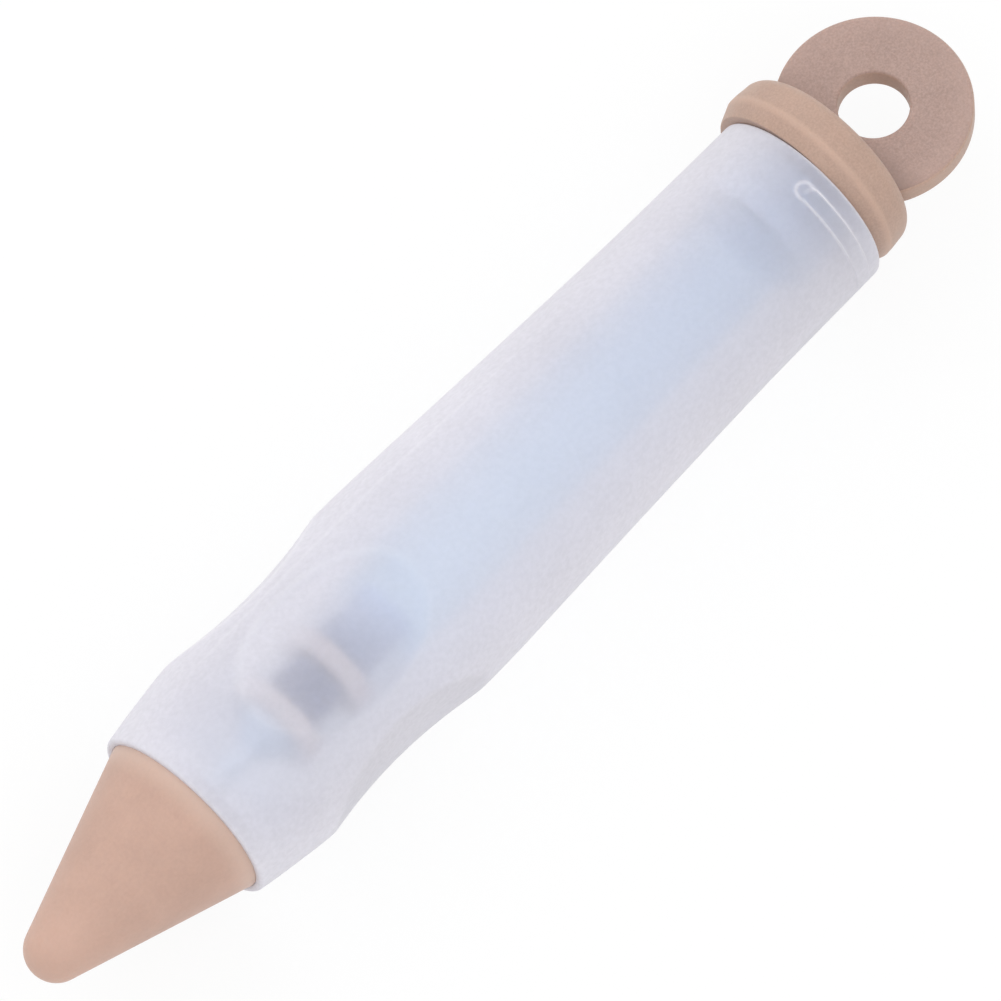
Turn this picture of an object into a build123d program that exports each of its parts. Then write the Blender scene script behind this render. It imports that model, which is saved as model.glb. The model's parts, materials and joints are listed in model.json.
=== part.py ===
from build123d import *
import os
from math import acos, asin, atan2, cos, degrees, hypot, pi, radians, sin, tan

# Icing pen lying along X, nozzle cap towards -X and hanging ring towards +X.
# The origin is on the pen's own axis, half way along its length. All lengths are in millimetres.

# Clearances between pieces
fit_clearance = 0.05
seat_gap = 0.05
sheath_clearance = 0.3
seal_clearance = 0.02

# Most of a wall's thickness that one bevelled edge may take, and most of a land that a rim's round may
bevel_share = 0.45
land_share = 0.55

# Squeeze barrel, outside. Distances called lip_to are along the axis from the barrel's front lip.
barrel_length = 114.0
lip_wall = 1.15
lip_bevel = 0.3
grip_radius = 14.85
taper_radius = 14.5
mouth_radius = 13.1
mouth_bevel = 0.4
lip_to_grip = 10.0
grip_length = 30.2
lip_to_taper = 57.0
parting_roll = -45.0

# Squeeze barrel, finger dents: saddles sunk in the grip, one on each quarter of the barrel
dent_count = 4
dent_depth = 1.35
lip_to_dent = 24.8
dent_along_radius = 71.0
dent_across_radius = 27.0
dent_rim_round = 6.0

# Squeeze barrel, raised bar beside the mouth
bar_width = 2.2
bar_height = 0.35
bar_root = 0.6
bar_to_mouth = 3.5
bar_roll = 45.0
bar_spread = 86.0

# Squeeze barrel, inside
chamber_radius = 6.5
lip_to_shoulder = 15.6

# Nozzle and its two seal rings
nozzle_radius = 4.2
nozzle_wall = 1.4
nozzle_tail = 9.5
nozzle_collar = 0.6
nozzle_reach = 5.0
outlet_radius = 0.75
outlet_wall = 0.65
outlet_length = 16.5
groove_depth = 0.3
seal_width = 2.9
seal_spacing = 9.2

# Nozzle cap
cap_reach = 27.6
cap_base_radius = 12.05
cap_tip_radius = 4.15
cap_rim_depth = 2.0

# End plug
stem_core_radius = 8.25
stem_length = 8.5
stem_chamfer = 0.8
seal_rib_count = 1
seal_rib_width = 1.5
seal_rib_height = 0.4
seal_rib_flank = 50.0
flange_front_radius = 12.9
flange_radius = 13.8
flange_rear_radius = 13.4
flange_chamfer_length = 2.3
flange_thickness = 7.2
flange_rear_bevel = 2.0
ring_radius = 12.75
ring_hole_radius = 4.6
ring_thickness = 3.5
ring_rim_bevel = 0.8
ring_hole_bevel = 0.5
ring_stand = 7.7
ring_roll = -11.0

# Places along the axis, worked out from the sizes above
overall_length = cap_reach + barrel_length + seat_gap + flange_thickness + ring_stand + ring_radius
lip_x = cap_reach - overall_length / 2
mouth_x = lip_x + barrel_length
recess_floor_x = lip_x + cap_rim_depth + seat_gap
shoulder_x = lip_x + lip_to_shoulder
flange_x = mouth_x + seat_gap
stem_x = flange_x - stem_length
stem_seat_x = stem_x - seat_gap
ring_x = flange_x + flange_thickness + ring_stand
front_seal_x = shoulder_x + seat_gap
rear_seal_x = front_seal_x + seal_spacing
nozzle_rear_x = rear_seal_x + seal_width + nozzle_tail
nozzle_taper_x = front_seal_x - nozzle_collar
nozzle_tip_x = lip_x - nozzle_reach
outlet_x = nozzle_tip_x + outlet_length

# Radii worked out from the sizes above
recess_radius = cap_base_radius + fit_clearance
lip_radius = recess_radius + lip_wall
waist_radius = grip_radius - dent_depth
groove_radius = nozzle_radius - groove_depth
nozzle_bore_radius = nozzle_radius - nozzle_wall
outlet_outer_radius = outlet_radius + outlet_wall
seal_rib_radius = stem_core_radius + seal_rib_height
stem_seat_radius = seal_rib_radius + fit_clearance

# Dent rims, across the middle of the dents: where two rounds of different radius cross.
# The land is half of the grip's round that is left between two rims.
dent_centre_drop = dent_across_radius - waist_radius
rim_height = (dent_across_radius**2 - grip_radius**2 - dent_centre_drop**2) / (2 * dent_centre_drop)
rim_roll = acos(rim_height / grip_radius)
rim_corner = rim_roll - asin(grip_radius * sin(rim_roll) / dent_across_radius)
dent_land = (pi / dent_count - rim_roll) * grip_radius

pen_axis = Axis.X
os.makedirs("parts", exist_ok=True)


def outward(roll):
    """Direction away from the pen's axis at a roll angle, which turns from +Z towards -Y."""
    return Vector(0, -sin(radians(roll)), cos(radians(roll)))


def roll_plane(roll):
    """Plane along the pen, with its own x along +X and its own y pointing outward at the roll angle."""
    return Plane(origin=(0, 0, 0), x_dir=(1, 0, 0), z_dir=Vector(1, 0, 0).cross(outward(roll)))


# Raised bar: a slice of a ring that follows the barrel's round, cut to an oblong with round ends
bar_x = mouth_x - bar_to_mouth
bar_top_radius = mouth_radius + bar_height
bar_chord = 2 * bar_top_radius * sin(radians(bar_spread / 2))

with BuildPart() as raised_bar:
    with BuildSketch(Plane.XZ) as bar_section:
        with Locations((bar_x, bar_top_radius)):
            Rectangle(bar_width, bar_height + bar_root, align=(Align.CENTER, Align.MAX))
    revolve(axis=pen_axis)
    with BuildSketch(roll_plane(bar_roll - 90)) as bar_outline:
        with Locations((bar_x, 0)):
            SlotOverall(bar_chord, bar_width, rotation=90)
    extrude(amount=bar_top_radius, mode=Mode.INTERSECT)

# Squeeze barrel: one soft moulding, fullest at its grip and slimmer towards its ends
with BuildPart() as squeeze_barrel:
    with BuildSketch(roll_plane(parting_roll)) as barrel_section:
        with BuildLine() as barrel_outline:
            grip_start = (lip_x + lip_to_grip, grip_radius)
            grip_end = (lip_x + lip_to_grip + grip_length, grip_radius)
            taper = (lip_x + lip_to_taper, taper_radius)
            grip = Line(grip_start, grip_end)
            nose = TangentArc(grip_start, (lip_x, lip_radius), tangent=(-1, 0))
            back = TangentArc(grip_end, taper, tangent=(1, 0))
            tail = TangentArc(taper, (mouth_x, mouth_radius), tangent=back % 1)
            Polyline(tail @ 1, (mouth_x, 0), (lip_x, 0), nose @ 1)
        make_face()
        lip_rim = barrel_section.vertices().group_by(Axis.X)[0].sort_by(Axis.Y)[-1]
        mouth_rim = barrel_section.vertices().group_by(Axis.X)[-1].sort_by(Axis.Y)[-1]
        chamfer(lip_rim, length=min(lip_bevel, bevel_share * lip_wall))
        chamfer(mouth_rim, length=mouth_bevel)
    revolve(axis=pen_axis)

    # Finger dents: a wheel with a hollow rim, set across the pen, cuts each saddle
    for turn in range(dent_count):
        up = outward(turn * 360 / dent_count)
        across = up.cross(pen_axis.direction)
        dent_centre = Vector(lip_x + lip_to_dent, 0, 0)
        with BuildSketch(Plane(origin=dent_centre, x_dir=across, z_dir=pen_axis.direction)) as dent_section:
            with Locations((0, waist_radius - dent_across_radius)):
                Rectangle(
                    2 * grip_radius,
                    dent_across_radius + dent_along_radius,
                    align=(Align.CENTER, Align.MIN),
                )
                Circle(dent_across_radius, mode=Mode.SUBTRACT)
        wheel_axis = Axis(dent_centre + up * (waist_radius + dent_along_radius), across)
        revolve(axis=wheel_axis, mode=Mode.SUBTRACT)
    dents = squeeze_barrel.faces().filter_by(GeomType.TORUS).sort_by(Axis.X)[:dent_count]
    fillet(dents.edges(), radius=min(dent_rim_round, land_share * dent_land / tan(rim_corner / 2)))

    # Inside, from the mouth: plug seat, filling chamber, nozzle seat in the solid front, cap recess
    with BuildSketch(Plane.XZ) as core_section:
        with BuildLine() as core_outline:
            Polyline(
                (mouth_x, 0),
                (mouth_x, stem_seat_radius),
                (stem_seat_x, stem_seat_radius),
                (stem_seat_x, chamber_radius),
                (shoulder_x, chamber_radius),
                (shoulder_x, nozzle_radius + fit_clearance),
                (nozzle_taper_x, nozzle_radius + fit_clearance),
                (outlet_x, outlet_outer_radius + fit_clearance),
                (recess_floor_x, outlet_outer_radius + fit_clearance),
                (recess_floor_x, recess_radius),
                (lip_x, recess_radius),
                (lip_x, 0),
                close=True,
            )
        make_face()
    revolve(axis=pen_axis, mode=Mode.SUBTRACT)

    add(raised_bar.part)

squeeze_barrel.part.label = "squeeze_barrel"
export_step(squeeze_barrel.part, "parts/squeeze_barrel.step")

# Nozzle: a tube that seats in the barrel's solid front and narrows to its outlet under the cap
with BuildPart() as nozzle:
    with BuildSketch(Plane.XZ) as nozzle_section:
        with BuildLine() as nozzle_outline:
            Polyline(
                (nozzle_tip_x, outlet_radius),
                (nozzle_tip_x, outlet_outer_radius),
                (outlet_x, outlet_outer_radius),
                (nozzle_taper_x, nozzle_radius),
                (nozzle_rear_x, nozzle_radius),
                (nozzle_rear_x, nozzle_bore_radius),
                (nozzle_taper_x, nozzle_bore_radius),
                (outlet_x, outlet_radius),
                close=True,
            )
        make_face()
        for seal_x in (front_seal_x, rear_seal_x):
            with Locations((seal_x, groove_radius)):
                Rectangle(seal_width, nozzle_wall, align=Align.MIN, mode=Mode.SUBTRACT)
    revolve(axis=pen_axis)

nozzle.part.label = "nozzle"
export_step(nozzle.part, "parts/nozzle.step")

# Seal rings: soft rings in the nozzle's grooves that fill the chamber's bore
seal_wall = chamber_radius - fit_clearance - groove_radius - seal_clearance

for seal_name, seal_x in (("front_seal", front_seal_x), ("rear_seal", rear_seal_x)):
    with BuildPart() as seal:
        with BuildSketch(Plane.XZ) as seal_section:
            with Locations((seal_x, groove_radius + seal_clearance)):
                Rectangle(seal_width, seal_wall, align=Align.MIN)
        revolve(axis=pen_axis)
    seal.part.label = seal_name
    export_step(seal.part, f"parts/{seal_name}.step")

# Nozzle cap: a blunt cone, hollow for the nozzle, whose rim pushes into the barrel's lip
cap_rim_x = lip_x + cap_rim_depth
cap_centre_x = lip_x - cap_reach + cap_tip_radius
centre_to_rim = lip_x - cap_centre_x
cone_half_angle = degrees(
    atan2(cap_base_radius, centre_to_rim) - asin(cap_tip_radius / hypot(cap_base_radius, centre_to_rim))
)
cavity_radius = outlet_outer_radius + sheath_clearance
cavity_end_x = nozzle_tip_x - sheath_clearance

with BuildPart() as nozzle_cap:
    with BuildSketch(Plane.XZ) as cap_section:
        with BuildLine() as cap_outline:
            tip = JernArc(
                start=(lip_x - cap_reach, 0),
                tangent=(0, 1),
                radius=cap_tip_radius,
                arc_size=cone_half_angle - 90,
            )
            Polyline(
                tip @ 1,
                (lip_x, cap_base_radius),
                (cap_rim_x, cap_base_radius),
                (cap_rim_x, cavity_radius),
                (cavity_end_x, cavity_radius),
                (cavity_end_x, 0),
                tip @ 0,
            )
        make_face()
    revolve(axis=pen_axis)

nozzle_cap.part.label = "nozzle_cap"
export_step(nozzle_cap.part, "parts/nozzle_cap.step")

# End plug: a hanging ring, a flange that closes the mouth and a ribbed stem, moulded in one
flange_rear_x = flange_x + flange_thickness
rib_spacing = stem_length / (seal_rib_count + 1)
ring_plane = roll_plane(ring_roll + 90)

with BuildPart() as end_plug:
    with BuildSketch(ring_plane) as ring_section:
        with Locations((ring_x, 0)):
            Circle(ring_radius)
            Circle(ring_hole_radius, mode=Mode.SUBTRACT)
    extrude(amount=ring_thickness / 2, both=True)
    ring_edges = end_plug.edges().filter_by(GeomType.CIRCLE).group_by(SortBy.RADIUS)
    chamfer(ring_edges[-1], length=min(ring_rim_bevel, bevel_share * ring_thickness))
    chamfer(ring_edges[0], length=min(ring_hole_bevel, bevel_share * ring_thickness))

    with BuildSketch(Plane.XZ) as flange_section:
        with BuildLine() as flange_outline:
            Polyline(
                (flange_x, 0),
                (flange_x, flange_front_radius),
                (flange_x + flange_chamfer_length, flange_radius),
                (flange_rear_x, flange_rear_radius),
                (flange_rear_x, 0),
                close=True,
            )
        make_face()
        rear_corner = flange_section.vertices().group_by(Axis.X)[-1].sort_by(Axis.Y)[-1]
        chamfer(rear_corner, length=flange_rear_bevel)
    revolve(axis=pen_axis)

    with BuildSketch(Plane.XZ) as stem_section:
        with BuildLine() as stem_outline:
            Polyline(
                (flange_x, 0),
                (flange_x, stem_core_radius),
                (stem_x + stem_chamfer, stem_core_radius),
                (stem_x, stem_core_radius - stem_chamfer),
                (stem_x, 0),
                close=True,
            )
        make_face()
        for rib in range(1, seal_rib_count + 1):
            with Locations((stem_x + rib * rib_spacing, stem_core_radius)):
                Trapezoid(
                    seal_rib_width,
                    seal_rib_height,
                    seal_rib_flank,
                    align=(Align.CENTER, Align.MIN),
                )
    revolve(axis=pen_axis)

end_plug.part.label = "end_plug"
export_step(end_plug.part, "parts/end_plug.step")
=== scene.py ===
import json
from math import atan2, cos, hypot, pi, radians, sin, sqrt

import bmesh
import bpy
from bpy.props import FloatProperty, FloatVectorProperty, PointerProperty
from bpy.types import Operator, Panel, PropertyGroup
from mathutils import Matrix, Vector


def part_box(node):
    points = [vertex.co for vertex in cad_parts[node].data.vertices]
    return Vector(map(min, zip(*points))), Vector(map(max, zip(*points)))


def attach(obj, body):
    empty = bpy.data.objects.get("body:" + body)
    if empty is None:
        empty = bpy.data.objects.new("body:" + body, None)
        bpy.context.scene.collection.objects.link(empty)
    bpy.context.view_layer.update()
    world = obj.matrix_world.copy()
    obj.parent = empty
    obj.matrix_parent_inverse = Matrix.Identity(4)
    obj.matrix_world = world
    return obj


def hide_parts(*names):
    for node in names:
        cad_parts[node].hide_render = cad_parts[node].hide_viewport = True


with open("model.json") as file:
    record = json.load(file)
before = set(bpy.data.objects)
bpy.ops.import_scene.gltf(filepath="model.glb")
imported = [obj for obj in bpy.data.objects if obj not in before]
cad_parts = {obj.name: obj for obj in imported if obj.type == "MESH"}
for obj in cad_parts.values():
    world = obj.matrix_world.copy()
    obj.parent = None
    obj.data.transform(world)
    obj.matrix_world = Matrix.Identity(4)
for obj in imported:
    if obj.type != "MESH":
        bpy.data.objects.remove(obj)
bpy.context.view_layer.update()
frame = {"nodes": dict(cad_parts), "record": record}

bl_info = {
    "name": "Icing pen",
    "version": (1, 0, 0),
    "blender": (4, 5, 0),
    "location": "3D View > Sidebar > Icing pen",
    "description": "Builds a silicone icing pen over its packed CAD model",
    "category": "Add Mesh",
}

# The pen lies along X, cap towards -X. A roll angle turns about it from +Z towards -Y.
MM = 0.001
MOUNT = frame["record"]["mounts"][0]
BARREL_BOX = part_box("squeeze_barrel")
LIP_X = BARREL_BOX[0][0]
MOUTH_X = BARREL_BOX[1][0]
TIP_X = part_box("nozzle_cap")[0][0]
STEM_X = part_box("end_plug")[0][0]
TUBE_END_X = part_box("nozzle")[1][0]
RING_X = MOUNT["pos_m"][0]
RING_NORMAL = Vector(MOUNT["axis"]).normalized()

# Faces round each turned form, and the spacing of the barrel's rings of faces
BARREL_TURNS = 288
PLUG_TURNS = 200
CAP_TURNS = 160
RING_TURNS = 160
SEAL_TURNS = 96
GRID = 0.5 * MM

# How many millimetres behind the lip the barrel has each of its outside radii
RADIUS_AT = {"lip": 0, "nose": 5.5, "front": 13, "rear": 41, "shoulder": 57, "middle": 72, "tail": 92}

# Half of the width over which the raised bar's edge rises, and the inner radius of the seal rings
BAR_EDGE = 0.12 * MM
SEAL_BORE = 3.93 * MM

# Finishes of the barrel's faces and of the plug's, in the order of their materials
SKIN, CHAMBER, FRONT, SEAT, RECESS, OUTLET = range(6)
MOULDED, RING_FACE, STEM = range(3)

# Cosines of the turn between which the dents' painted rim highlight, painted shade and painted light
# of their milkier side grow from none to full
RIM_HIGHLIGHT_FADE = (-0.2, 0.9)
PAINTED_SHADE_FADE = (0, 0.6)
LIT_MILK_FADE = (0.05, 0.5)

# Real sizes of the patterns in the silicone, the plastic and the floor. A mould's own grain is too
# fine to show, so it is drawn as coarse as it needs to show.
PIGMENT_CLOUD = 6 * MM
MILK_CLOUD = 14 * MM
MILK_SPECKLE = 0.7 * MM
INNER_CLOUD = 8 * MM
MOULD_GRAIN = 0.5 * MM
FLOW_MARK = 1.5 * MM
BOARD_GRAIN = 4 * MM

# Shares of a straight view and of the light that pass through the milky skin
CLEAR_VIEW = 0.66
CLEAR_LIGHT = 0.85


def linear(hex_colour):
    """Linear colour from an sRGB hex value."""
    channels = [int(hex_colour[i : i + 2], 16) / 255 for i in (1, 3, 5)]
    return [c / 12.92 if c <= 0.04045 else ((c + 0.055) / 1.055) ** 2.4 for c in channels]


def length(name, description, mm):
    """A length property whose default is given in millimetres."""
    return FloatProperty(
        name=name, description=description, default=mm * MM, min=0, precision=5, unit="LENGTH"
    )


def angle(name, description, degrees):
    """An angle property whose default is given in degrees."""
    return FloatProperty(name=name, description=description, default=radians(degrees), unit="ROTATION")


def colour(name, description, hex_colour):
    """A colour property whose default is an sRGB hex value."""
    return FloatVectorProperty(
        name=name, description=description, default=linear(hex_colour), min=0, max=1, subtype="COLOR"
    )


class IcingPenBarrel(PropertyGroup):
    lip_radius: length("Lip radius", "Outside radius of the barrel at its front lip", 13.1)
    nose_radius: length("Nose radius", "Outside radius where the nose swells", 13.95)
    front_radius: length("Front bulge radius", "Outside radius in front of the finger dents", 14.75)
    rear_radius: length("Rear bulge radius", "Outside radius behind the finger dents", 15.0)
    shoulder_radius: length("Shoulder radius", "Outside radius where the long taper starts", 14.5)
    middle_radius: length("Middle radius", "Outside radius half way down the taper", 13.95)
    tail_radius: length("Tail radius", "Outside radius near the end of the taper", 13.33)
    mouth_radius: length("Mouth radius", "Outside radius at the mouth", 13.1)
    waist_radius: length("Waist radius", "Radius to the bottom of a finger dent", 13.5)
    dent_along: length("Dent radius along", "Radius of a dent's hollow along the pen", 71)
    dent_across: length("Dent radius across", "Radius of a dent's round across the pen", 27)
    dent_middle: length("Dent middle", "Distance from the lip to the middle of a dent", 24.8)
    dent_softness: length("Dent softness", "Depth over which a dent's rim is rounded", 0.1)
    # A dent's rim gets a painted highlight within this depth, strongest at the roll that faces the key light
    rim_band: length("Rim band", "Depth within which a dent's rim is lighter", 0.26)
    rim_highlight_roll: angle("Rim roll", "Roll angle at which the dents' rims are crispest", -40)
    # The dents at this roll, away from the key light, get the greyest painted shade
    painted_shade_roll: angle("Bloom roll", "Roll angle of the dents that have the greyest bloom", 110)
    lip_round: length("Lip round", "Radius of the rounded lip", 0.45)
    mouth_round: length("Mouth round", "Radius of the rounded mouth", 0.55)
    lean: length("Lean", "How far the soft outside leans towards -Y at the mouth", 1.35)
    seam_roll: angle("Seam roll", "Roll angle of the mould's parting line", -45)
    bar_width: length("Bar width", "Width of the raised bar beside the mouth", 2.2)
    bar_height: length("Bar height", "Height of the raised bar", 0.25)
    bar_length: length("Bar length", "Length of the raised bar round the barrel", 18.4)
    bar_inset: length("Bar inset", "Distance from the mouth to the bar's middle", 3.5)
    bar_roll: angle("Bar roll", "Roll angle of the bar's middle", 47.5)
    chamber_radius: length("Chamber radius", "Radius of the filling chamber", 6.5)
    seat_radius: length("Plug seat radius", "Radius of the seat for the plug's stem", 8.7)
    seat_depth: length("Plug seat depth", "Depth of the seat for the plug's stem", 8.5)
    front_length: length("Solid front", "Length of the solid front that holds the nozzle", 15.6)
    recess_radius: length("Recess radius", "Radius of the recess for the cap's rim", 12.1)
    recess_depth: length("Recess depth", "Depth of the recess for the cap's rim", 2.05)
    nozzle_hole_radius: length("Nozzle seat radius", "Radius of the nozzle's seat in the solid front", 4.25)
    nozzle_hole_depth: length("Nozzle seat depth", "Depth of the nozzle's straight seat", 0.55)
    outlet_hole_radius: length("Outlet hole radius", "Radius of the hole for the nozzle's outlet", 1.45)
    outlet_hole_length: length("Outlet hole length", "From the lip to the seat cone's narrow end", 11.5)
    hollow_edge: length("Hollow edge", "Bevel of the edges inside", 0.3)
    lip_edge: length("Lip edge", "Bevel of the lip's inner edge", 0.08)
    milk: colour("Milky silicone", "Colour of the barrel's milky silicone", "#D9D7DF")
    depth_tint: colour("Depth tint", "Cool tint of what is seen through the silicone", "#F5F8FF")
    inner_tint: colour("Inner tint", "Cool tint of what is seen through an inner face", "#FAFFFF")
    # The chamber's and the plug seat's films are painted shade for the dim hollow inside
    chamber_shade_film: colour("Chamber film", "Colour of the chamber's wall", "#A0BCE7")
    wall_film: colour("Front wall film", "Colour of the chamber's wall round the nozzle", "#F4F0F4")
    front_film: colour("Front film", "Colour of the inner faces of the solid front", "#DAE2EA")
    recess_film: colour("Recess film", "Colour of the lip's recess", "#F6F7FF")
    outlet_film: colour("Outlet film", "Colour of the hole for the nozzle's outlet", "#E6EAEE")
    seat_shade_film: colour("Seat film", "Colour of the wall round the plug's stem", "#C6D1E6")


class IcingPenCap(PropertyGroup):
    base_radius: length("Base radius", "Radius of the cap where it enters the barrel", 12.05)
    tip_radius: length("Tip radius", "Radius of the rounded tip", 4.15)
    lean: length("Lean", "How far the soft tip leans towards -Y", 0.3)
    rim_depth: length("Rim depth", "How far the cap's rim pushes into the barrel", 2.0)
    cavity_radius: length("Cavity radius", "Radius of the hollow over the nozzle", 1.7)
    cavity_depth: length("Cavity depth", "Depth of the hollow from the lip", 5.3)
    silicone: colour("Cap silicone", "Colour of the cap's beige silicone", "#C1A091")
    # A painted glow of the milky lip's light on the cap's base
    lit_silicone: colour("Lit silicone", "Paler colour of the cap's silicone beside the milky lip", "#DCC6B8")


class IcingPenPlug(PropertyGroup):
    front_radius: length("Flange front radius", "Radius of the flange against the mouth", 12.9)
    flange_radius: length("Flange radius", "Largest radius of the flange", 13.8)
    rear_radius: length("Flange rear radius", "Radius of the flange before its rear round", 13.6)
    chamfer_length: length("Flange chamfer", "Length of the slope at the flange's front", 2.3)
    rear_round: length("Flange rear round", "Radius of the flange's rounded rear edge", 2.2)
    thickness: length("Flange thickness", "Length of the flange along the pen", 7.2)
    stem_radius: length("Stem radius", "Radius of the stem inside the barrel", 8.25)
    stem_length: length("Stem length", "Length of the stem inside the barrel", 8.5)
    rib_height: length("Rib height", "Height of the stem's sealing rib", 0.4)
    ring_radius: length("Ring radius", "Outside radius of the hanging ring", 12.75)
    hole_radius: length("Hole radius", "Radius of the hanging hole", MOUNT["dims"]["r_mm"])
    ring_thickness: length("Ring thickness", "Thickness of the hanging ring", 3.5)
    rim_round: length("Ring rim round", "Radius of the ring's outer rim", 0.6)
    hole_round: length("Hole round", "Radius of the hole's rounded edge", 0.4)
    silicone: colour("Plug silicone", "Colour of the plug's beige silicone", "#B49889")
    stem_silicone: colour("Stem silicone", "Colour of the undyed stem inside the barrel", "#EEF1FA")
    face_silicone: colour("Ring face silicone", "Colour of the hanging ring's flat faces", "#A78E85")


class IcingPenNozzle(PropertyGroup):
    seal_round: length("Seal round", "Radius of the seal rings' rounded corners", 0.5)
    seal_silicone: colour("Seal silicone", "Colour of the two seal rings", "#DCCBC8")
    plastic: colour("Nozzle plastic", "Colour of the nozzle's tinted tube", "#1D4A7E")
    outlet_plastic: colour("Undyed plastic", "Colour of the nozzle's pale ends", "#E0E3F0")


class IcingPenStage(PropertyGroup):
    distance: length("Camera distance", "Distance from the camera to the pen", 1710)
    floor: colour("Floor", "Colour of the plain floor", "#F4F4F4")


class IcingPenSettings(PropertyGroup):
    barrel: PointerProperty(type=IcingPenBarrel)
    cap: PointerProperty(type=IcingPenCap)
    plug: PointerProperty(type=IcingPenPlug)
    nozzle: PointerProperty(type=IcingPenNozzle)
    stage: PointerProperty(type=IcingPenStage)


def outward(roll):
    """Direction away from the pen's axis at a roll angle."""
    return Vector((0, -sin(roll), cos(roll)))


def quarter_round(centre, radius, start, steps=6):
    """Points of a quarter circle that turns anticlockwise from a start angle in degrees."""
    turns = [radians(start + 90 * i / steps) for i in range(steps + 1)]
    return [(centre[0] + radius * cos(t), centre[1] + radius * sin(t)) for t in turns]


def smooth_minimum(a, b, softness):
    """The smaller of two values, with the corner between them rounded off."""
    share = min(max(0.5 + 0.5 * (b - a) / softness, 0), 1)
    return b + (a - b) * share - softness * share * (1 - share)


def smooth_step(start, end, value):
    """0 before start, 1 after end and an even curve between."""
    share = min(max((value - start) / (end - start), 0), 1)
    return share * share * (3 - 2 * share)


def flowing_radius(stations, x):
    """Radius at x on a smooth curve through (x, radius) stations."""
    last = len(stations) - 1
    slopes = []
    for i in range(last + 1):
        (x0, r0), (x1, r1) = stations[max(i - 1, 0)], stations[min(i + 1, last)]
        slopes.append((r1 - r0) / (x1 - x0))
    i = max(k for k in range(last) if x >= stations[k][0] or k == 0)
    (x0, r0), (x1, r1) = stations[i], stations[i + 1]
    span = x1 - x0
    t = (x - x0) / span
    return (
        r0 * (1 + 2 * t) * (1 - t) ** 2
        + slopes[i] * span * t * (1 - t) ** 2
        + r1 * t * t * (3 - 2 * t)
        + slopes[i + 1] * span * t * t * (t - 1)
    )


def rounded_off(distance, radius):
    """How much a rounded edge takes off at a distance from the end face."""
    if distance >= radius:
        return 0
    return radius - sqrt(max(radius**2 - (radius - distance) ** 2, 0))


def new_piece(mesh, materials, body, node, sharp_degrees):
    """Makes a finished mesh a piece that rides on a body and stands for a CAD node.

    Edges sharper than the angle stay crisp, and the rest is shaded smooth.
    """
    piece = bpy.data.objects.new(mesh.name, mesh)
    bpy.context.scene.collection.objects.link(piece)
    for material in materials:
        mesh.materials.append(material)
    for face in mesh.polygons:
        face.use_smooth = True
    mesh.set_sharp_from_angle(angle=radians(sharp_degrees))
    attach(piece, body)
    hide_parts(node)


def turned_mesh(bm, profile, place, turns, closed=False, finish=lambda i: 0):
    """Adds a turned form: place(x, radius, turn) puts each profile point at each turn.

    finish(i) is the material of the faces between profile points i and i + 1.
    """
    rings = []
    for x, radius in profile:
        steps = turns if radius else 1
        rings.append([bm.verts.new(place(x, radius, 2 * pi * i / turns)) for i in range(steps)])
    pairs = zip(rings, rings[1:] + rings[:1] if closed else rings[1:])
    for index, (a, b) in enumerate(pairs):
        for i in range(turns):
            j = (i + 1) % turns
            corners = [a[i % len(a)], a[j % len(a)], b[j % len(b)], b[i % len(b)]]
            face = bm.faces.new(list(dict.fromkeys(corners)))
            face.material_index = finish(index)
    return rings


def about_pen(x, radius, turn):
    """Point at a radius and turn about the pen's axis."""
    return Vector((x, 0, 0)) + outward(turn) * radius


def finished_mesh(name, bm):
    """The bmesh as a mesh whose faces point outwards."""
    bmesh.ops.recalc_face_normals(bm, faces=bm.faces)
    mesh = bpy.data.meshes.new(name)
    bm.to_mesh(mesh)
    bm.free()
    return mesh


def add_node(tree, kind, inputs=None, **settings):
    """Adds a node with its settings and its inputs.

    An input is a value, a socket to link, or a node whose first working output is linked.
    """
    node = tree.nodes.new(kind)
    for name, value in settings.items():
        setattr(node, name, value)
    for socket, value in (inputs or {}).items():
        if isinstance(value, bpy.types.Node):
            value = next(output for output in value.outputs if output.enabled)
        if isinstance(value, bpy.types.NodeSocket):
            tree.links.new(value, node.inputs[socket])
        elif node.inputs[socket].type == "RGBA":
            node.inputs[socket].default_value = (*value, 1)
        else:
            node.inputs[socket].default_value = value
    return node


def new_material(name):
    """A node material that is still empty, and its node tree."""
    material = bpy.data.materials.new(name)
    material.use_nodes = True
    material.node_tree.nodes.clear()
    return material, material.node_tree


def shaded(colour_value, factor):
    """A colour made darker or lighter by a factor."""
    return [min(c * factor, 1) for c in colour_value]


def mottled(tree, base, noise, shades, spread=None):
    """Two shades of a base colour, mixed by a noise over its whole range or over a narrower spread."""
    if spread:
        low, high = spread
        noise = add_node(tree, "ShaderNodeMapRange", {"Value": noise, "From Min": low, "From Max": high})
    dark, light = [shaded(base, factor) for factor in shades]
    return add_node(tree, "ShaderNodeMix", {"Factor": noise, "A": dark, "B": light}, data_type="RGBA")


def along_pen(tree, place, start, end, low=0.0, high=1.0, soft=False):
    """A share that goes from low where X is start to high where X is end, evenly or softly."""
    axes = add_node(tree, "ShaderNodeSeparateXYZ", {"Vector": place})
    return add_node(
        tree,
        "ShaderNodeMapRange",
        {"Value": axes.outputs["X"], "From Min": start, "From Max": end, "To Min": low, "To Max": high},
        interpolation_type="SMOOTHSTEP" if soft else "LINEAR",
    )


def sees_white(tree):
    """1 for a ray from the camera, off something shiny or through something clear, and 0 for the rest."""
    path = add_node(tree, "ShaderNodeLightPath")
    seen = path.outputs["Is Camera Ray"]
    for ray in ("Is Glossy Ray", "Is Transmission Ray"):
        seen = add_node(tree, "ShaderNodeMath", {0: seen, 1: path.outputs[ray]}, operation="MAXIMUM")
    return seen


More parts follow.
